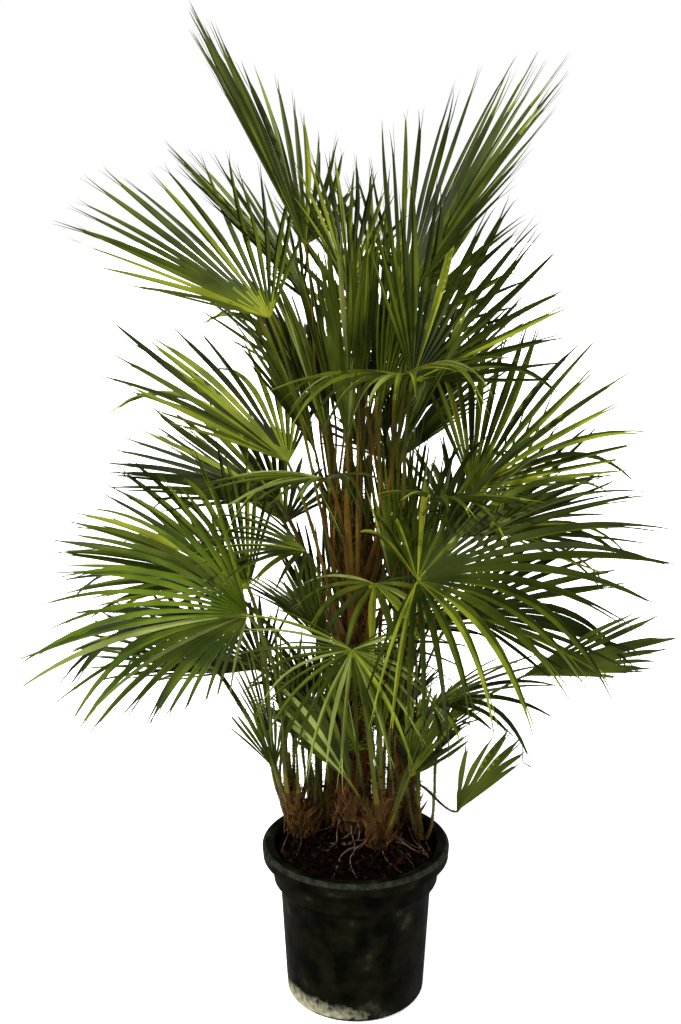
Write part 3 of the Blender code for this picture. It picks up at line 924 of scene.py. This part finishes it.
def around(stem, share, turn, out):
    """A place at this height and turn, so far out from the stem's own surface, and its way out."""
    way = Vector((cos(turn), sin(turn), 0.0))
    above = max(0.0, share - 1.0)
    share = min(1.0, share)
    centre = stem_axis(stem, share) + UP * (above * (stem.top[2] * CM - SOIL_TOP))
    return centre + way * (stem_radius(stem, share) * (1.0 - TOP_CLOSING * smooth(above * 3)) + out), way


def add_core(net, stem):
    """The stem itself, in rough rings."""
    last = None
    for row in range(CORE_ROWS + 1):
        share = row / CORE_ROWS
        places = []
        for turn in turns(CORE_SIDES):
            place, way = around(stem, share, turn, -CORE_SUNK)
            rough = noise.fractal(place * 55.0, 0.8, 2.0, 4) * CORE_ROUGH
            places.append(place + way * rough)
        ring = net.ring(places)
        if last:
            net.bridge(last, ring, BARK)
        else:
            net.cap(ring[::-1], BARK)
        last = ring
    net.cap(last, BARK)


def base_slot(share, draw):
    if share < 0.15:
        return draw.choice((BASE_BROWN, BASE_TAN))
    if share < 0.6:
        return draw.choice((BASE_BROWN, BASE_BROWN, BASE_BROWN, BASE_TAN))
    return draw.choice((BASE_TAN, BASE_TAN, BASE_GREEN, BASE_BROWN))


def add_base(net, stem, share, turn, draw):
    """An old leaf base: a wide flat sheath on the stem that narrows to the stub of its stalk."""
    height = stem.top[2] * CM - SOIL_TOP
    long = draw.uniform(*BASE_LENGTHS)
    long += UPPER_BASE * height * smooth((share - UPPER_FROM) * UPPER_RATE) * draw.uniform(*UPPER_LENGTHS)
    wide = stem_radius(stem, share) * draw.uniform(*BASE_WIDTHS)
    lean = draw.uniform(*BASE_LEANS)
    slot = base_slot(share, draw)
    last = None
    for row in range(BASE_ROWS + 1):
        part = row / BASE_ROWS
        level = share + part * long / height
        out = -CORE_SUNK + BASE_PROUD + lean * part * part * 2
        place, way = around(stem, level, turn + BASE_TURN * part, out)
        across = Vector((-way.y, way.x, 0.0))
        span = mix(wide, BASE_END, smooth(part * long / SHEATH))
        thick = mix(BASE_EDGE, BASE_END * BASE_FLATNESS, smooth(part * 2)) * (1.0 - BASE_THINNING * part)
        places = []
        for angle in turns(BASE_SIDES):
            side = span * cos(angle)
            wrap = side * side / (BASE_WRAP * stem_radius(stem, min(1.0, level)))
            places.append(place + across * side + way * (thick * sin(angle) - wrap))
        ring = net.ring(places)
        if last:
            net.bridge(last, ring, slot)
        last = ring
    net.cap(last, BASE_BROWN)


def add_stub(net, stem, draw):
    """A broken leaf base at a stem's foot, pointing out and up."""
    share = draw.uniform(0.0, STUB_REACH / (stem.top[2] * CM - SOIL_TOP))
    place, way = around(stem, share, draw.uniform(0, 2 * pi), -CORE_SUNK)
    heading = (way * draw.uniform(*STUB_OUT) + UP * draw.uniform(*STUB_UP)).normalized()
    long = draw.uniform(*STUB_LENGTHS)
    wide = draw.uniform(*STUB_WIDTHS)
    points = [place + heading * (long * part) + UP * (STUB_CURL * part * part) for part in STUB_PARTS]
    slot = draw.choice((BASE_BROWN, BASE_TAN))
    add_tube(net, points, [wide * part for part in STUB_TAPER], 6, slot, STUB_FLATNESS)


def add_fibre(net, stem, draw):
    """A strand that runs aslant round the stem, its end now and then loose."""
    share = draw.uniform(0.0, FIBRES_UP_TO)
    turn = draw.uniform(0, 2 * pi)
    rise = draw.uniform(*FIBRE_RISES) / (stem.top[2] * CM - SOIL_TOP)
    twist = draw.uniform(*FIBRE_TWISTS) * draw.choice((-1, 1))
    loose = draw.uniform(*LOOSE_ENDS) if draw.random() < LOOSE_FIBRES else 0.0
    lift = draw.uniform(*FIBRE_LIFTS)
    points = []
    for row in range(FIBRE_ROWS):
        part = row / (FIBRE_ROWS - 1)
        level = share + rise * part
        points.append(around(stem, min(1.0, level), turn + twist * part, lift + loose * part ** 3)[0])
    radius = draw.uniform(*FIBRE_RADII)
    radii = [radius * (1.0 - FIBRE_TAPER * row / FIBRE_ROWS) for row in range(FIBRE_ROWS)]
    add_tube(net, points, radii, 3, RUST if draw.random() < RUSTY_FIBRES else STRAW)


def young_fan(name, stem, index, count, draw):
    """A young leaf of the stem's heart: a narrow blade that stands up close to its neighbours."""
    top = Vector(stem.top)
    way = index * GOLDEN_TURN + draw.uniform(-0.4, 0.4)
    age = index / count
    out = 1.0 + (2.5 + stem.top[2] * 0.06) * age
    rise = mix(*YOUNG_RISES, age) * stem.top[2] * draw.uniform(0.8, 1.1)
    hub = (top.x + out * cos(way), top.y + out * sin(way), top.z + rise)
    reach = mix(14, 30, stem.top[2] / 96) * draw.uniform(0.85, 1.15)
    start = draw.uniform(*YOUNG_STARTS) * stem.top[2]
    aim = (way * 180 / pi, mix(*YOUNG_TILTS, age))
    return Fan(name, start, hub, aim, draw.uniform(*YOUNG_ROLLS), reach, mix(*YOUNG_HALVES, age),
               YOUNG_FOLD, YOUNG_DROOP, YOUNG_SHORT, 3 + int(5 * age))


def make_stems(leaves, browns):
    for order, (name, stem) in enumerate(STEMS.items()):
        draw = random.Random(STEM_SEED + order)
        places = random.Random(STEM_SEED - order)
        height = stem.top[2] * CM - SOIL_TOP
        bark, bases, fibre, young = Net(), Net(), Net(), Net()
        add_core(bark, stem)
        count = int(height / BASE_SPACING)
        for index in range(count):
            add_base(bases, stem, BASES_UP_TO * index / count, index * GOLDEN_TURN, draw)
        for _ in range(STUBS):
            add_stub(bases, stem, draw)
        for _ in range(int(height * FIBRES_PER_METRE)):
            add_fibre(fibre, stem, draw)
        for index in range(YOUNG[name]):
            fan = young_fan(name, stem, index, YOUNG[name], places)
            add_blade(young, fan, draw, YOUNG_LOOK)
            add_stalk(young, fan, *stalk_foot(fan, stem), draw)
        pieces = (bark.object(f"bark_{name}", browns), bases.object(f"leaf_bases_{name}", browns, 40),
                  fibre.object(f"fibre_{name}", browns), young.object(f"spears_{name}", leaves, 35))
        for piece in pieces:
            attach(piece, BODY)
            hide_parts(f"stem_{name}")


def shoot_fan(shoot, index, draw):
    """One leaf of a basal shoot, its blade held up and outwards."""
    turn = radians(shoot.turn) + index * GOLDEN_TURN
    out = draw.uniform(*SHOOT_OUTS)
    hub = (shoot.foot[0] + out * cos(turn), shoot.foot[1] + out * sin(turn),
           SOIL_TOP / CM + shoot.height * draw.uniform(*SHOOT_HEIGHTS))
    return Fan("main", 0, hub, (turn * 180 / pi, draw.uniform(*SHOOT_TILTS)), draw.uniform(*SHOOT_ROLLS),
               draw.uniform(*SHOOT_REACHES), draw.uniform(*SHOOT_HALVES), SHOOT_FOLD, SHOOT_DROOP,
               SHOOT_SHORT, draw.randint(*SHOOT_LEAFLETS))


def make_shoots(leaves):
    net = Net()
    for order, shoot in enumerate(SHOOTS):
        places = random.Random(SHOOT_SEED + order)
        draw = random.Random(SHOOT_SEED - order)
        for index in range(shoot.leaves):
            fan = shoot_fan(shoot, index, places)
            turn = radians(shoot.turn) + index * GOLDEN_TURN
            out = Vector((cos(turn), sin(turn), 0.0))
            foot = Vector((shoot.foot[0] * CM, shoot.foot[1] * CM, SOIL_TOP)) + out * STALK_ROOT / 3
            add_blade(net, fan, draw, SHOOT_LOOK)
            add_stalk(net, fan, foot, out, draw)
    piece = net.object("basal_shoots", leaves, 35)
    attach(piece, BODY)
    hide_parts("stem_main")


def make_thread(leaves):
    net = Net()
    add_tube(net, [Vector(spot) * CM for spot in THREAD], THREAD_RADII, 5, DRY)
    piece = net.object("dry_thread", leaves)
    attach(piece, BODY)
    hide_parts("fan_low_right")


# The pot and what it holds

def lathe(name, profile, materials):
    """A closed profile turned about the pot's axis, its outermost edge in the second material: wear with a
    painted highlight.
    """
    net = Net()
    last = None
    for radius, height in profile:
        # The lip's top outer faces take the second material: wear with a painted highlight
        slot = 1 if radius > LIP_WEAR_AND_HIGHLIGHT_FROM and height > LIP_LOW + LIP_CURVE else 0
        if radius < 1e-6:
            ring = net.ring([(0.0, 0.0, height)])
        else:
            ring = net.ring(circle(radius, height, POT_SIDES))
        if last:
            net.join(last, ring, slot)
        last = ring
    return net.object(name, materials, 50)


def arc(centre, radius, first, last, steps):
    """Points on a bend in the profile, from one angle to the other."""
    points = []
    for step in range(steps + 1):
        angle = radians(mix(first, last, step / steps))
        points.append((centre[0] + radius * cos(angle), centre[1] + radius * sin(angle)))
    return points


def map_range(tree, source, start, full, low=0.0, high=1.0):
    made = node(tree, "ShaderNodeMapRange")
    tree.links.new(source, made.inputs["Value"])
    for key, value in (("From Min", start), ("From Max", full), ("To Min", low), ("To Max", high)):
        made.inputs[key].default_value = value
    return made.outputs["Result"]


def multiply(tree, first, second):
    made = node(tree, "ShaderNodeMath", operation="MULTIPLY")
    tree.links.new(first, made.inputs[0])
    tree.links.new(second, made.inputs[1])
    return made.outputs[0]


def stain_share(tree):
    """How much lime there is: a broken band low on the pot that fades out away from its left."""
    place = node(tree, "ShaderNodeTexCoord")
    split = node(tree, "ShaderNodeSeparateXYZ")
    tree.links.new(place.outputs["Object"], split.inputs["Vector"])
    toward = node(tree, "ShaderNodeVectorMath", operation="DOT_PRODUCT")
    tree.links.new(place.outputs["Object"], toward.inputs[0])
    toward.inputs[1].default_value = STAIN_SIDE
    low = map_range(tree, split.outputs["Z"], 0.0, STAIN_HEIGHT)
    band = ramp(tree, low, [(0.03, (0.0, 0.0, 0.0)), (0.16, (1.0, 1.0, 1.0)),
                            (0.4, (0.8, 0.8, 0.8)), (0.95, (0.0, 0.0, 0.0))])
    left = map_range(tree, toward.outputs["Value"], STAIN_FROM, STAIN_FULL)
    whole = multiply(tree, band.outputs["Color"], left)
    broken = multiply(tree, whole, object_noise(tree, 85.0, 10.0))
    edge = ramp(tree, broken, [(0.14, (0.0, 0.0, 0.0)), (0.5, (1.0, 1.0, 1.0))])
    return edge.outputs["Color"]


def pot_material():
    """Dull black plastic with a film of dust and a stain of lime low on its left."""
    made, tree, shader = shader_of("pot", 0.5, 0.005)
    dust = ramp(tree, object_noise(tree, 22.0, 10.0), [(0.4, (0.0003, 0.0003, 0.0001)),
                (0.62, (0.0022, 0.002, 0.0008)), (0.72, (0.008, 0.0082, 0.0052))])
    colour = node(tree, "ShaderNodeMix", data_type="RGBA")
    tree.links.new(stain_share(tree), colour.inputs[0])
    tree.links.new(dust.outputs["Color"], colour.inputs[6])
    colour.inputs[7].default_value = STAIN_COLOUR
    tree.links.new(colour.outputs[2], shader.inputs["Base Color"])
    rough = map_range(tree, object_noise(tree, 30.0, 5.0), 0.0, 1.0, 0.42, 0.8)
    tree.links.new(rough, shader.inputs["Roughness"])
    bump(tree, shader, object_noise(tree, 300.0, 3.0), 0.15, 0.0008)
    return made


def make_pot():
    lip = (LIP_RADIUS - LIP_CURVE, POT_HEIGHT - LIP_CURVE)
    inner = COLLAR_RADIUS - WALL
    profile = [(0.0, FLOOR), (FOOT_RADIUS - WALL, FLOOR), (BODY_LOW_RADIUS - WALL, FOOT_CURVE),
               (BODY_TOP_RADIUS - WALL, COLLAR_LOW), (inner, COLLAR_LOW + COLLAR_BEND)]
    profile += arc((inner + INNER_BEND, POT_HEIGHT - INNER_BEND), INNER_BEND, 180, 90, 6)
    profile += arc(lip, LIP_CURVE, 90, -10, 10)
    profile += [(LIP_RADIUS - WALL / 2, LIP_LOW), (LIP_RADIUS - WALL, LIP_LOW - LIP_GAP)]
    profile += [(COLLAR_RADIUS + STEP_BEND, LIP_LOW - LIP_GAP)]
    profile += arc((COLLAR_RADIUS + STEP_BEND, LIP_LOW - LIP_GAP - STEP_BEND), STEP_BEND, 90, 180, 4)
    profile += arc((COLLAR_RADIUS - COLLAR_BEND, COLLAR_LOW + COLLAR_BEND / 2), COLLAR_BEND, 0, -80, 5)
    profile += [(BODY_TOP_RADIUS + 0.001, COLLAR_LOW - 0.004), (BODY_TOP_RADIUS, COLLAR_LOW - 0.01)]
    profile += arc((BODY_LOW_RADIUS - FOOT_CURVE, FOOT_CURVE), FOOT_CURVE, 0, -90, 8)
    profile += [(FOOT_RADIUS - 0.012, 0.0), (FOOT_RADIUS - 0.014, FOOT_RISE), (0.0, FOOT_RISE)]
    # The paler lip edge: wear with a painted highlight
    wear_and_highlight = soil_material("worn_edge_and_painted_highlight", (0.0035, 0.0037, 0.0025), (0.0095, 0.01, 0.007), 0.6)
    pot = lathe("pot_shell", profile, [pot_material(), wear_and_highlight])
    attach(pot, BODY)
    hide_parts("pot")


def soil_height(x, y):
    """The soil's lumpy top, a little higher in the middle."""
    radius = (x * x + y * y) ** 0.5 / SOIL_RADIUS
    lumps = noise.fractal(Vector((x, y, 0.3)) * LUMP_SCALE, 0.9, 2.1, 5)
    return mix(SOIL_TOP + SOIL_HEAP, SOIL_EDGE, radius ** 3) + SOIL_LUMPS * lumps


def soil_material(name, dark, light, roughness):
    return patched_material(name, (roughness, 0.005), (85.0, 8.0), [(0.38, dark), (0.66, light)],
                            (190.0, 8.0), (0.9, 0.003))


def add_crumb(net, place, size, draw, slot):
    """A lump of bark or compost: a squashed six-pointed grain."""
    turn = Matrix.Rotation(draw.uniform(0, pi), 3, "Z") @ Matrix.Rotation(draw.uniform(0, pi), 3, "X")
    size = Vector((draw.uniform(0.6, 1.5), draw.uniform(0.5, 1.0), draw.uniform(0.4, 0.8))) * size
    ways = ((1, 0, 0), (0, 1, 0), (-1, 0, 0), (0, -1, 0), (0, 0, 1), (0, 0, -1))
    points = []
    for way in ways:
        stretched = Vector([part * extent * draw.uniform(0.75, 1.15) for part, extent in zip(way, size)])
        points.append(place + turn @ stretched)
    ring = net.ring(points)
    for index in range(4):
        after = (index + 1) % 4
        net.face((ring[index], ring[after], ring[4]), slot)
        net.face((ring[after], ring[index], ring[5]), slot)


def soil_top():
    net = Net()
    last = net.ring([(0.0, 0.0, soil_height(0.0, 0.0))])
    for row in range(1, SOIL_ROWS + 1):
        places = circle(SOIL_RADIUS * row / SOIL_ROWS, 0.0, SOIL_SIDES)
        ring = net.ring([(x, y, soil_height(x, y)) for x, y, _ in places])
        net.join(last, ring, 0)
        last = ring
    skirt = net.ring(circle(SOIL_RADIUS, SOIL_EDGE - SOIL_SKIRT, SOIL_SIDES))
    net.bridge(last, skirt, 0)
    net.cap(skirt, 0)
    return net


def soil_crumbs(draw):
    net = Net()
    for _ in range(CRUMBS):
        radius, turn = SOIL_RADIUS * 0.97 * draw.random() ** 0.5, draw.uniform(0, 2 * pi)
        x, y = radius * cos(turn), radius * sin(turn)
        size = draw.choice(CRUMB_SIZES)
        add_crumb(net, Vector((x, y, soil_height(x, y) + size * 0.2)), size, draw, draw.choice((0, 0, 1)))
    return net


def make_soil():
    draw = random.Random(SOIL_SEED)
    crumbs = soil_crumbs(draw)
    roots = Net()
    for _ in range(ROOTS):
        add_root(roots, draw)
    dark = soil_material("compost", (0.0002, 0.0001, 0.00007), (0.0014, 0.0006, 0.0004), 0.9)
    chips = soil_material("bark_chips", (0.0011, 0.0005, 0.0003), (0.0062, 0.0025, 0.0014), 0.8)
    pale = soil_material("roots", (0.01, 0.0052, 0.003), (0.062, 0.039, 0.024), 0.8)
    pieces = (soil_top().object("compost_top", [dark], 60),
              crumbs.object("compost_crumbs", [dark, chips], 20),
              roots.object("surface_roots", [pale, chips]))
    for piece in pieces:
        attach(piece, BODY)
        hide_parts("soil")


def add_root(net, draw):
    """A root or dry fibre that wanders over the soil away from one of the stems."""
    stem = draw.choice(list(STEMS.values()))
    x, y = stem.foot[0] * CM, stem.foot[1] * CM
    turn = draw.uniform(0, 2 * pi)
    x += stem.foot_radius * CM * cos(turn)
    y += stem.foot_radius * CM * sin(turn)
    points = []
    rise = draw.uniform(*ROOT_RISES)
    count = draw.randint(*ROOT_COUNTS)
    for index in range(count):
        if (x * x + y * y) ** 0.5 > SOIL_RADIUS * 0.95:
            break
        share = index / count
        points.append(Vector((x, y, soil_height(x, y) + 0.001 + rise * (1 - share) ** 3)))
        turn += draw.uniform(-ROOT_WANDER, ROOT_WANDER)
        x += ROOT_STEP * cos(turn)
        y += ROOT_STEP * sin(turn)
    if len(points) > 3:
        radius = draw.uniform(*ROOT_RADII)
        radii = [radius * (1 - ROOT_TAPER * index / len(points)) for index in range(len(points))]
        add_tube(net, points, radii, 5, draw.choice((0, 0, 1)))


# Camera, floor and light

def set_camera():
    bpy.context.scene.view_settings.view_transform = "Standard"
    data = bpy.data.cameras.new("camera")
    data.lens = SENSOR * FOCAL_PIXELS / PHOTO_HEIGHT
    data.sensor_width = SENSOR
    camera = bpy.data.objects.new("camera", data)
    camera.location = CAMERA_PLACE
    camera.rotation_euler = (radians(90 - CAMERA_DOWN), 0.0, 0.0)
    bpy.context.scene.collection.objects.link(camera)
    bpy.context.scene.camera = camera


def make_floor():
    bpy.ops.mesh.primitive_plane_add(size=60)
    floor = bpy.context.object
    floor.name = "floor"
    made, _, shader = shader_of("floor", 0.9, 0.1)
    shader.inputs["Base Color"].default_value = (0.86, 0.86, 0.85, 1.0)
    floor.data.materials.append(made)


def make_light():
    """A white room of even light, with a soft sun from high on the left of the picture."""
    world = bpy.data.worlds.new("world")
    world.use_nodes = True
    sky = world.node_tree.nodes["Background"]
    sky.inputs["Color"].default_value = (1.0, 1.0, 1.0, 1.0)
    sky.inputs["Strength"].default_value = ROOM_LIGHT
    bpy.context.scene.world = world
    for name, source, strength, spread in SUNS:
        data = bpy.data.lights.new(name, "SUN")
        data.energy = strength
        data.angle = radians(spread)
        lamp = bpy.data.objects.new(name, data)
        lamp.rotation_euler = Vector(source).to_track_quat("Z", "Y").to_euler()
        bpy.context.scene.collection.objects.link(lamp)


def main():
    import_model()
    set_camera()
    leaves = [leaf_material(name, *LEAF_COLOURS[name]) for name in LEAVES]
    browns = [brown_material(name, *BROWNS[name]) for name in BROWN_NAMES]
    make_fans(leaves)
    make_stems(leaves, browns)
    make_shoots(leaves)
    make_thread(leaves)
    make_pot()
    make_soil()
    make_floor()
    make_light()


main()
